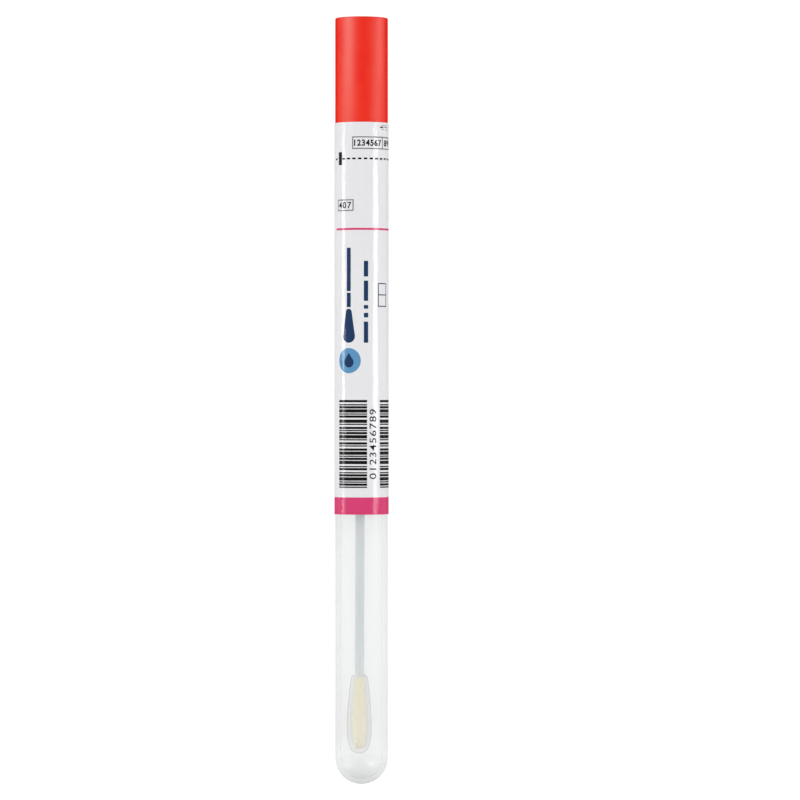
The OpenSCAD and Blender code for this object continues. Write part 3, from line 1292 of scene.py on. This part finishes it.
    def plant_fibres(self, tip: float) -> bpy.types.Object:
        """Plants thousands of short fibres on the bed.

        The fibres are too many for one operator each, so their points and faces
        are listed here and made a mesh at once.

        Args:
            tip: Height of the swab's tip.

        Returns:
            The fibres as one object.
        """
        draw = random.Random(self.fibre_seed)
        depth, rise = self.bed_depth, self.slope_rise
        points: list[Vector] = []
        faces: list[tuple[int, int, int]] = []
        while len(points) < self.fibres * (len(self.fibre_corners) + 1):
            height = draw.uniform(depth, self.head_l - self.fibre_clear)
            if height < self.shoulder_low:
                radius = self.egg(height, depth)
                slope = (radius - self.egg(height + rise, depth)) / rise
            else:
                radius = self.stick_r
                slope = 2 * (height - self.shoulder_low) / self.shoulder_l
            room = (radius / self.head_r) * math.sqrt(1 + min(slope, self.slope_most) ** 2)
            if draw.random() > room / self.crowding:
                continue
            angle = draw.uniform(0, 2 * math.pi)
            out = Vector((math.cos(angle), math.sin(angle), slope)).normalized()
            root = Vector((radius * math.cos(angle), radius * math.sin(angle), height + tip))
            comb = Vector((draw.gauss(0, 1), draw.gauss(0, 1), draw.gauss(0, 1))) * self.fibre_comb
            way = (out + comb).normalized()
            reach = depth * draw.uniform(*self.fibre_reach)
            if way.z > 0:
                reach = min(reach, (self.head_l - height) / way.z)
            across = out.orthogonal().normalized()
            other = out.cross(across)
            first = len(points)
            for turned in self.fibre_corners:
                aside = (across * math.cos(turned) + other * math.sin(turned)) * self.fibre_r
                points.append(root - out * self.fibre_root + aside)
            points.append(root + way * reach)
            second, third, end = first + 1, first + 2, first + 3
            faces += [
                (first, second, end), (second, third, end), (third, first, end),
                (third, second, first),
            ]
        mesh = bpy.data.meshes.new("flock_fibres")
        mesh.from_pydata(points, [], faces)
        obj = bpy.data.objects.new("flock_fibres", mesh)
        bpy.context.scene.collection.objects.link(obj)
        self.hang(obj, tip)
        return obj

    def build(self, bench: Bench) -> None:
        """Builds the stick, its ink, and the head's bed, fibres and coat.

        Args:
            bench: Places and dresses the pieces.
        """
        tip = bench.datum.tip
        stick = self.turn_piece("swab_stick", tip, self.stick_profile())
        bench.place(stick, Body.CAP, STICK_WHITE, ("swab_shaft",))
        self.build_ink(bench)
        bed = self.turn_piece("flock_bed", tip, self.bed_profile())
        bench.place(bed, Body.CAP, FLOCK_BED)
        fibres = bench.place(self.plant_fibres(tip), Body.CAP, FLOCK_FIBRE)
        fibres.visible_shadow = False
        # The coat is a grey see-through shell over the fibres that paints shade: a grey ring at
        # the head's rim.
        skin = [*self.head_profile(0), *self.shoulder(), (0, self.head_l)]
        coat = self.turn_piece("flock_coat_and_shade", tip, skin)
        bench.place(coat, Body.CAP, (FLOCK_COAT_AND_SHADE, FLOCK_COLLAR), ("flock_tip",))
        axis = Vector((HEAD_ASIDE, bench.datum.axis_h))
        low = bench.datum.foot_y + (tip + self.shoulder_low) * MM

        def is_collar(face: bpy.types.MeshPolygon) -> bool:
            """Whether a face of the lying coat is on the shoulder and close to the stick."""
            aside = (Vector((face.center.x, face.center.z)) - axis).length
            return aside < self.collar_r * MM and face.center.y > low

        split_faces(coat, is_collar)


# ---- The label ----


@dataclass
class Artwork:
    """Flat print of one colour, laid out in the plane y = 0 and then wrapped round the tube.

    Attributes:
        name: Name of the piece.
        radius: Radius that the print is wrapped to.
        mouth: Height of the perforation.
        length: Length of the label below the perforation.
        parts: The shapes laid out so far.
    """

    name: str
    radius: float
    mouth: float = 0.0
    length: float = 0.0
    parts: list[bpy.types.Object] = field(default_factory=list)

    def at(self, share: float) -> float:
        """Place along the tube, from the perforation, of a share of the label's length."""
        return share * self.length

    def take(self) -> None:
        """Keeps the active object as a part, with its place in its mesh."""
        keep_place()
        self.parts.append(bpy.context.object)

    def patch(self, x: Point, y: Point, top: float = 1.0) -> None:
        """Adds a filled rectangle, or a strip that narrows upwards.

        Args:
            x: Its lower ends round the tube, from the middle of the front.
            y: Its ends along the tube, from the perforation.
            top: Share of its lower width that is left at the top.
        """
        clear_selection()
        bpy.ops.mesh.primitive_plane_add(size=1)
        obj = bpy.context.object
        if top != 1:
            bpy.ops.object.mode_set(mode="EDIT")
            select_points(obj, lambda co: co.y > 0)
            bpy.ops.transform.resize(value=(top, 1, 1), center_override=(0, 0.5, 0))
            bpy.ops.object.mode_set(mode="OBJECT")
        obj.location = (sum(x) / 2, 0, self.mouth + sum(y) / 2)
        obj.rotation_euler = (math.pi / 2, 0, 0)
        obj.scale = (x[1] - x[0], y[1] - y[0], 1)
        self.take()

    def frame(self, xs: tuple[float, ...], ys: tuple[float, ...], line: float) -> None:
        """Adds an outlined box with dividers.

        Args:
            xs: Ends and dividers round the tube.
            ys: Ends and dividers along the tube.
            line: Thickness of the outline.
        """
        half = line / 2
        for i, x in enumerate(xs):
            middle = x + (half if i == 0 else -half if i == len(xs) - 1 else 0)
            self.patch(span(middle, half), (ys[0], ys[-1]))
        for i, y in enumerate(ys):
            middle = y + (half if i == 0 else -half if i == len(ys) - 1 else 0)
            for left, right in zip(xs, xs[1:]):
                self.patch((left + half, right - half), span(middle, half))

    def disc(self, centre: Point, radius: float) -> None:
        """Adds a filled disc.

        Args:
            centre: Its middle, round and along the tube.
            radius: Its radius.
        """
        clear_selection()
        bpy.ops.mesh.primitive_circle_add(
            vertices=40, radius=radius, fill_type="NGON",
            location=(centre[0], 0, self.mouth + centre[1]), rotation=(math.pi / 2, 0, 0),
        )
        self.take()

    def digits(self, text: str, x: Point, y: Point, weight: float, upward: bool = False) -> None:
        """Adds plain digits fitted to a box.

        Args:
            text: The digits.
            x: The box's ends round the tube.
            y: The box's ends along the tube.
            weight: How much the strokes are thickened, for digits of size 1.
            upward: Whether they read up the tube.
        """
        clear_selection()
        bpy.ops.object.text_add(rotation=(0, 0, math.pi / 2 if upward else 0))
        obj = bpy.context.object
        obj.data.body = text
        obj.data.offset = weight
        obj.data.space_character = 1.12
        obj.data.resolution_u = 4
        bpy.ops.object.convert(target="MESH")
        keep_place()
        low, high = Vector(obj.bound_box[0]), Vector(obj.bound_box[6])
        wide, tall = (x[1] - x[0]) / (high.x - low.x), (y[1] - y[0]) / (high.y - low.y)
        obj.scale = (wide, tall, 1)
        obj.rotation_euler = (math.pi / 2, 0, 0)
        obj.location = (x[0] - low.x * wide, 0, self.mouth + y[0] - low.y * tall)
        self.take()

    def wrap(self, thickness: float = 0.02) -> bpy.types.Object:
        """Joins the parts, cuts them fine and bends them round the tube.

        Args:
            thickness: Thickness of the ink.

        Returns:
            The wrapped print.
        """
        obj = join(self.parts, self.name)
        left, right = obj.bound_box[0][0], obj.bound_box[6][0]
        bpy.ops.object.mode_set(mode="EDIT")
        for i in range(1, math.ceil((right - left) / WRAP_STEP)):
            bpy.ops.mesh.select_all(action="SELECT")
            bpy.ops.mesh.bisect(plane_co=(left + i * WRAP_STEP, 0, 0), plane_no=(1, 0, 0))
        bpy.ops.object.mode_set(mode="OBJECT")
        bend = obj.modifiers.new("bend", "SIMPLE_DEFORM")
        bend.deform_method = "BEND"
        bend.deform_axis = "Z"
        bend.angle = (right - left) / self.radius
        bpy.ops.object.modifier_apply(modifier=bend.name)
        obj.location = (0, -self.radius, 0)
        keep_place()
        thicken(obj, thickness, -1)
        return obj


@dataclass
class WrapLabel:
    """The film round the tube, its seal strip on the cap, and their print.

    Places round the tube are lengths from the middle of the front. Places along
    it are lengths from the perforation, or where named so, shares of the label's
    length below it.

    Attributes:
        radius: Outer radius of the film.
        film: Thickness of the film.
        inner: Inner radius of the film, clear of the tube.
        gap: Half of the cut at the perforation.
        lap_w: Width of the lap at the back.
        lap_at: Angle from the front to the lap's middle.
        lap_sink: How deep the lap reaches into the film under it.
        band: Height of the colour band.
        line_at: Distance from the perforation down to the colour line.
        line_w: Thickness of the colour line.
        proud: How far ink stands out of the film.
        outline_w: Thickness of the grey outlines.
        print_ends: Ends of the print round the tube.
        dash_left: Where the dashes begin.
        dash_l: Length of a dash.
        dash_pitch: Distance from one dash to the next.
        dash_w: Thickness of the dashes.
        tick: Ends of the mark across the perforation, round the tube.
        tick_ends: Its ends along the tube.
        bar_x: Left ends of the bar codes.
        bar_l: Length of the bars.
        bar_from: Share where the bar codes begin.
        bar_count: Number of bars.
        bar_mix: Spread of the bars' widths in modules, and the stride of their order.
        space_mix: The same for the spaces between them.
        module: Width of the narrowest bar.
        ink_spread: How far the ink of a bar spreads on each side.
        number_x: Ends of the long number round the tube.
        number_ends: Shares where it begins and ends.
        number_weight: Weight of its digits.
        box_x: Ends of the box below the perforation, round the tube.
        box_ends: Shares where it begins and ends.
        box_digits_x: Ends of the digits in it, round the tube.
        box_margin: Space above and below them.
        box_weight: Their weight.
        serial: Digits of the seal strip, with their ends round the tube.
        serial_ends: Their ends along the tube.
        serial_weight: Their weight.
        small_marks: Ends of the small dashes on the seal strip, round and along it.
        seal_box_x: Ends and divider of the seal strip's box, round the tube.
        seal_box_ends: Its ends along the tube.
        sign_x: Middle of the swab sign and of the emblem.
        sign_ends: Shares where the swab sign begins and ends.
        sign_head_r: Radius of the sign's head.
        sign_neck_r: Radius of its neck.
        sign_head_l: Length of its head.
        sign_stick_r: Half the width of its stick.
        sign_gap: Gaps in its stick, at the neck and at the breakpoint.
        note_x: Ends of the dashes for writing, round the tube.
        note_words: Lengths of these dashes.
        note_gap: Space between them.
        leaflet_x: Ends of the leaflet round the tube.
        leaflet_ends: Shares where it begins and ends.
        leaflet_w: Thickness of its outline.
        emblem_at: Share where the emblem's middle lies.
        emblem_r: Radius of the emblem.
        drop_low: How far the drop's middle lies below the emblem's.
        drop_r: Radius of the drop.
        point_r: Half the width of the drop's point where it begins.
        point_ends: Ends of the point, above the drop's middle.
        point_top: Share of its width that is left at the top.
    """

    radius: float = 5.91
    film: float = 0.16
    inner: float = 5.765
    gap: float = 0.004
    lap_w: float = 3.0
    lap_at: float = 215.0
    lap_sink: float = 0.05
    band: float = 3.75
    line_at: float = 15.3
    line_w: float = 0.44
    proud: float = 0.012
    outline_w: float = 0.25
    print_ends: Point = (-6.9, 20.0)
    dash_left: float = -7.17
    dash_l: float = 0.76
    dash_pitch: float = 1.288
    dash_w: float = 0.38
    tick: Point = (-5.8, -4.72)
    tick_ends: Point = (-1.36, 1.46)
    bar_x: Point = (-5.64, 4.42)
    bar_l: float = 6.9
    bar_from: float = -0.9243
    bar_count: int = 28
    bar_mix: Point = (2.6, 0.618)
    space_mix: Point = (1.35, 0.57)
    module: float = 0.224
    ink_spread: float = 0.03
    number_x: Point = (1.81, 3.44)
    number_ends: Point = (-0.9, -0.7035)
    number_weight: float = 0.004
    box_x: Point = (-6.17, -1.71)
    box_ends: Point = (-0.147, -0.1143)
    box_digits_x: Point = (-5.75, -2.2)
    box_margin: float = 0.55
    box_weight: float = 0.018
    serial: tuple[tuple[str, Point], ...] = (("1234567", (-1.62, 4.85)), ("89", (5.75, 7.9)))
    serial_ends: Point = (2.7, 4.15)
    serial_weight: float = 0.034
    small_marks: tuple[tuple[Point, Point], ...] = (
        ((4.5, 5.3), (6.72, 7.02)), ((5.3, 7.7), (6.83, 6.94)), ((5.0, 7.3), (7.22, 7.32)),
        ((5.0, 5.9), (6.32, 6.42)), ((6.4, 7.4), (6.32, 6.42)),
    )
    seal_box_x: tuple[float, ...] = (-2.05, 5.24, 8.4)
    seal_box_ends: Point = (2.05, 4.8)
    sign_x: float = -2.86
    sign_ends: Point = (-0.5173, -0.2503)
    sign_head_r: float = 1.45
    sign_neck_r: float = 0.71
    sign_head_l: float = 7.4
    sign_stick_r: float = 0.475
    sign_gap: float = 0.35
    note_x: Point = (0.55, 1.5)
    note_words: tuple[float, ...] = (4.6, 1, 0.8, 4.4, 3.4)
    note_gap: float = 0.9
    leaflet_x: Point = (3.87, 6.69)
    leaflet_ends: Point = (-0.4159, -0.3492)
    leaflet_w: float = 0.22
    emblem_at: float = -0.5674
    emblem_r: float = 2.75
    drop_low: float = 0.35
    drop_r: float = 1.15
    point_r: float = 1.07
    point_ends: Point = (0.42, 1.95)
    point_top: float = 0.08

    def lap_middle(self, radius: float) -> float:
        """Where the lap's middle lies round the tube, on a skin of this radius."""
        return self.lap_at / 180 * math.pi * radius

    def film_piece(self, name: str, low: float, high: float) -> bpy.types.Object:
        """Turns a stretch of film and adds its lap.

        Args:
            name: Name of the piece.
            low: Height of its lower edge.
            high: Height of its upper edge.

        Returns:
            The film.
        """
        section = [(self.inner, low), (self.radius, low), (self.radius, high), (self.inner, high)]
        ring = turn(name + "_ring", section)
        lap = Artwork(name + "_lap", self.radius + self.film)
        lap.patch(span(self.lap_middle(lap.radius), self.lap_w / 2), (low, high))
        return join([ring, lap.wrap(self.film + self.lap_sink)], name)

    def modules(self, i: int, mix: Point) -> float:
        """Width of a bar or a space: a few whole modules, in an order that doesn't repeat."""
        return (1 + math.floor(mix[0] * (i * mix[1] % 1))) * self.module

    def black(self, art: Artwork) -> None:
        """Lays out the black print below the perforation: bar codes and numbers.

        Args:
            art: The print.
        """
        for left in self.bar_x:
            start = art.at(self.bar_from)
            for i in range(self.bar_count):
                width = self.modules(i, self.bar_mix)
                edges = (start - self.ink_spread, start + width + self.ink_spread)
                art.patch((left, left + self.bar_l), edges)
                start += width + self.modules(i, self.space_mix)
        ends = (art.at(self.number_ends[0]), art.at(self.number_ends[1]))
        art.digits("0123456789", self.number_x, ends, self.number_weight, upward=True)
        inside = (
            art.at(self.box_ends[0]) + self.box_margin, art.at(self.box_ends[1]) - self.box_margin
        )
        art.digits("407", self.box_digits_x, inside, self.box_weight)
        self.perforation(art, (self.tick_ends[0], 0.0))

    def perforation(self, art: Artwork, limits: Point) -> None:
        """Lays out the dashes and the mark across the perforation.

        Args:
            art: The print.
            limits: Ends along the tube that they are kept within.
        """
        dash = (max(limits[0], -self.dash_w / 2), min(limits[1], self.dash_w / 2))
        art.patch(self.tick, limits)
        x = self.dash_left
        while x < self.print_ends[1] - self.dash_l:
            if x + self.dash_l < self.tick[0] or x > self.tick[1]:
                art.patch((x, x + self.dash_l), dash)
            x += self.dash_pitch

    def seal(self, art: Artwork) -> None:
        """Lays out the black print of the seal strip: digits and small dashes.

        Args:
            art: The print.
        """
        for text, x in self.serial:
            art.digits(text, x, self.serial_ends, self.serial_weight)
        for x, y in self.small_marks:
            art.patch(x, y)
        self.perforation(art, (0.0, self.tick_ends[1]))

    def outline(self, art: Artwork) -> None:
        """Lays out the outline of the box below the perforation."""
        art.frame(self.box_x, tuple(art.at(share) for share in self.box_ends), self.outline_w)

    def seal_outline(self, art: Artwork) -> None:
        """Lays out the outline of the seal strip's box."""
        art.frame(self.seal_box_x, self.seal_box_ends, self.outline_w)

    def pink(self, art: Artwork) -> None:
        """Lays out the colour line and the colour band.

        Args:
            art: The print.
        """
        art.patch(self.print_ends, span(-self.line_at, self.line_w / 2))
        edge = self.lap_middle(self.radius) - self.lap_w / 2
        around = 2 * math.pi * self.radius
        art.patch((edge + self.lap_w - around, edge), (-art.length, -art.length + self.band))

    def navy(self, art: Artwork) -> None:
        """Lays out the navy print: a swab as a sign, dashes for writing, a leaflet and a drop.

        Args:
            art: The print.
        """
        low, high = (art.at(share) for share in self.sign_ends)
        head, neck = self.sign_head_r, self.sign_neck_r
        head_low, head_high = low + head, low + self.sign_head_l - neck
        art.disc((self.sign_x, head_low), head)
        art.disc((self.sign_x, head_high), neck)
        art.patch(span(self.sign_x, head), (head_low, head_high), neck / head)
        part = low + (high - low) * Swab.break_at / Swab.length
        stick = span(self.sign_x, self.sign_stick_r)
        art.patch(stick, (low + self.sign_head_l + self.sign_gap, part))
        art.patch(stick, (part + self.sign_gap, high))
        y = low
        for word in self.note_words:
            art.patch(self.note_x, (y, y + word))
            y += word + self.note_gap
        lower, upper = (art.at(share) for share in self.leaflet_ends)
        art.frame(self.leaflet_x, (lower, (lower + upper) / 2, upper), self.leaflet_w)
        drop = art.at(self.emblem_at) - self.drop_low
        art.disc((self.sign_x, drop), self.drop_r)
        point = (drop + self.point_ends[0], drop + self.point_ends[1])
        art.patch(span(self.sign_x, self.point_r), point, self.point_top)

    def blue(self, art: Artwork) -> None:
        """Lays out the emblem's disc."""
        art.disc((self.sign_x, art.at(self.emblem_at)), self.emblem_r)

    def build(self, bench: Bench) -> None:
        """Builds the film, the seal strip and their prints.

        Args:
            bench: Places and dresses the pieces.
        """
        datum = bench.datum
        film = self.film_piece("label_wrap", datum.label_low, datum.mouth - self.gap)
        bench.place(film, Body.TUBE, FILM_WHITE, ("label",))
        strip = self.film_piece("label_seal_strip", datum.mouth + self.gap, datum.seal_top)
        bench.place(strip, Body.CAP, FILM_WHITE, ("label_seal",))
        for name, layout, body, finish, nodes, lift in (
            ("black_print", self.black, Body.TUBE, INK_BLACK, ("label_black_print",), 1.0),
            ("grey_outline", self.outline, Body.TUBE, INK_GREY, (), 1.0),
            ("pink_print", self.pink, Body.TUBE, INK_PINK, ("label_pink_print",), 1.0),
            ("navy_print", self.navy, Body.TUBE, INK_NAVY, ("label_navy_print",), 1.5),
            ("blue_print", self.blue, Body.TUBE, INK_BLUE, ("label_blue_print",), 1.0),
            ("seal_print", self.seal, Body.CAP, INK_BLACK, ("seal_black_print",), 1.0),
            ("seal_outline", self.seal_outline, Body.CAP, INK_GREY, (), 1.0),
        ):
            radius = self.radius + self.proud * lift
            art = Artwork(name, radius, datum.mouth, datum.mouth - datum.label_low)
            layout(art)
            bench.place(art.wrap(), body, finish, nodes)


# ---- The studio ----


@dataclass(frozen=True)
class Lamp:
    """A flat lamp beside the tube, parallel to it.

    Attributes:
        name: Name of the lamp.
        angle: Angle from straight up, in degrees, positive to the right.
        width: Width, in metres.
        ends: Where it begins and ends along the tube, in metres.
        power: Power, in watts.
        gloss_only: Whether it is a streak in the gloss, or a soft light without one.
    """

    name: str
    angle: float
    width: float
    ends: Point
    power: float
    gloss_only: bool = True


@dataclass
class Studio:
    """Floor, daylight, lamps and the camera.

    Attributes:
        view_w: Width of the view at the tube's axis, in metres.
        distance: Height of the camera above the tube's axis, in metres.
        aside: How far the camera stands to the tube's right, in metres.
        along: How far it stands from the middle towards the cap, in metres.
        sensor_w: Width of the camera's sensor, in millimetres.
        near: Nearest distance that the camera sees, in metres.
        lamp_distance: Distance of the lamps from the tube, in metres.
        daylight: Strength of the even daylight.
        floor_w: Width of the floor, in metres.
        floor_drop: How far the floor lies below the bench, in metres.
        floor_roughness: Roughness of the floor.
        floor_glow: What the floor adds to its own light where it is seen.
        floor_mirrored: What it adds where it is seen in gloss or through something clear.
        floor_tone: How much of its light the floor throws back.
        lamps: The lamps.
    """

    view_w: float = 0.17483
    distance: float = 0.95
    aside: float = 0.0084
    along: float = 0.00025
    sensor_w: float = 36.0
    near: float = 0.01
    lamp_distance: float = 0.45
    daylight: float = 0.775
    floor_w: float = 6.0
    floor_drop: float = 0.0001
    floor_roughness: float = 0.9
    floor_glow: float = 0.87
    floor_mirrored: float = 0.795
    floor_tone: float = 0.25
    lamps: tuple[Lamp, ...] = (
        Lamp("left_streak", -85, 0.15, (-0.0365, 0.0885), 0.95),
        Lamp("right_streak", 62.5, 0.17, (-0.0365, 0.0885), 1.3),
        Lamp("left_cap_band", -55.5, 0.27, (0.122, 0.282), 7.3),
        Lamp("right_cap_band", 88, 0.03, (0.122, 0.282), 2.6),
        Lamp("left_fill", -74, 0.24, (-0.20, 0.20), 0.88, gloss_only=False),
        Lamp("right_fill", 64, 0.24, (-0.20, 0.20), 0.80, gloss_only=False),
    )

    def build_camera(self, axis_h: float) -> None:
        """Places the camera straight above the tube.

        Args:
            axis_h: Height of the tube's axis, in metres.
        """
        clear_selection()
        bpy.ops.object.camera_add(location=(self.aside, self.along, axis_h + self.distance))
        camera = bpy.context.object
        camera.data.sensor_width = self.sensor_w
        camera.data.lens = self.sensor_w * self.distance / self.view_w
        camera.data.clip_start = self.near
        bpy.context.scene.camera = camera

    def build_floor(self) -> None:
        """Lays the pale floor, white to the eye and with the object's soft shadow on it."""
        clear_selection()
        bpy.ops.mesh.primitive_plane_add(size=self.floor_w, location=(0, 0, -self.floor_drop))
        floor = named("floor")
        paint = bpy.data.materials.new("floor_paint")
        paint.use_nodes = True
        nodes = Nodes(paint.node_tree)
        nodes.feed(nodes.tree.nodes["Principled BSDF"], {
            "Base Color": (self.floor_tone, self.floor_tone, self.floor_tone),
            "Roughness": self.floor_roughness,
            "Specular IOR Level": 0.0,
            "Emission Color": (1.0, 1.0, 1.0),
            "Emission Strength": self._seen(nodes, 0.0, self.floor_mirrored, self.floor_glow),
        })
        floor.data.materials.append(paint)

    @staticmethod
    def _seen(nodes: Nodes, unseen: float, mirrored: float, seen: float) -> bpy.types.NodeSocket:
        """A value that differs for rays that the eye follows.

        Args:
            nodes: The node tree.
            unseen: The value for light that the surface gives to others.
            mirrored: The value for what is seen in gloss or through something clear.
            seen: The value for what is seen directly.

        Returns:
            The socket that gives it.
        """
        camera = nodes.add("LightPath", "Is Camera Ray")
        path = camera.node.outputs
        direct = nodes.remap(path["Transparent Depth"], result=(seen, mirrored))
        total = nodes.remap(camera, result=(unseen, direct))
        for kind in ("Is Glossy Ray", "Is Transmission Ray"):
            share = nodes.remap(path[kind], result=(unseen, mirrored))
            total = nodes.maths("MAXIMUM", total, share)
        return total

    def build_daylight(self) -> None:
        """Sets the even daylight, white where it is seen."""
        world = bpy.data.worlds.new("daylight")
        world.use_nodes = True
        bpy.context.scene.world = world
        nodes = Nodes(world.node_tree)
        nodes.feed(nodes.tree.nodes["Background"], {
            "Color": (1.0, 1.0, 1.0), "Strength": self._seen(nodes, self.daylight, 1.0, 1.0),
        })

    def build_lamps(self, axis_h: float) -> None:
        """Hangs the lamps beside the tube.

        Args:
            axis_h: Height of the tube's axis, in metres.
        """
        for plan in self.lamps:
            angle = math.radians(plan.angle)
            aside, up = self.lamp_distance * math.sin(angle), self.lamp_distance * math.cos(angle)
            clear_selection()
            bpy.ops.object.light_add(
                type="AREA", location=(aside, sum(plan.ends) / 2, axis_h + up),
                rotation=(0, angle, 0),
            )
            lamp = named(plan.name)
            lamp.data.shape = "RECTANGLE"
            lamp.data.size = plan.width
            lamp.data.size_y = plan.ends[1] - plan.ends[0]
            lamp.data.energy = plan.power
            lamp.visible_camera = False
            lamp.visible_diffuse = not plan.gloss_only
            lamp.visible_glossy = plan.gloss_only

    def build(self, datum: Datum) -> None:
        """Builds the whole studio.

        Args:
            datum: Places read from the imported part.
        """
        self.build_camera(datum.axis_h)
        self.build_floor()
        self.build_daylight()
        self.build_lamps(datum.axis_h)
        bpy.context.scene.view_settings.view_transform = "Standard"


def main() -> None:
    """Builds and dresses every piece, and reports each piece's faces and body."""
    logging.basicConfig(level=logging.INFO, format="%(name)s: %(message)s")
    datum = Datum.read()
    bench = Bench(datum, Paintshop(datum))
    Studio().build(datum)
    for part in (SpecimenTube(), PushCap(), Swab(), WrapLabel()):
        first = len(bench.placed)
        part.build(bench)
        for piece, body in bench.placed[first:]:
            log.info("%s: %d faces, on %s", piece.name, len(piece.data.polygons), body.value)


if __name__ == "__main__":
    main()
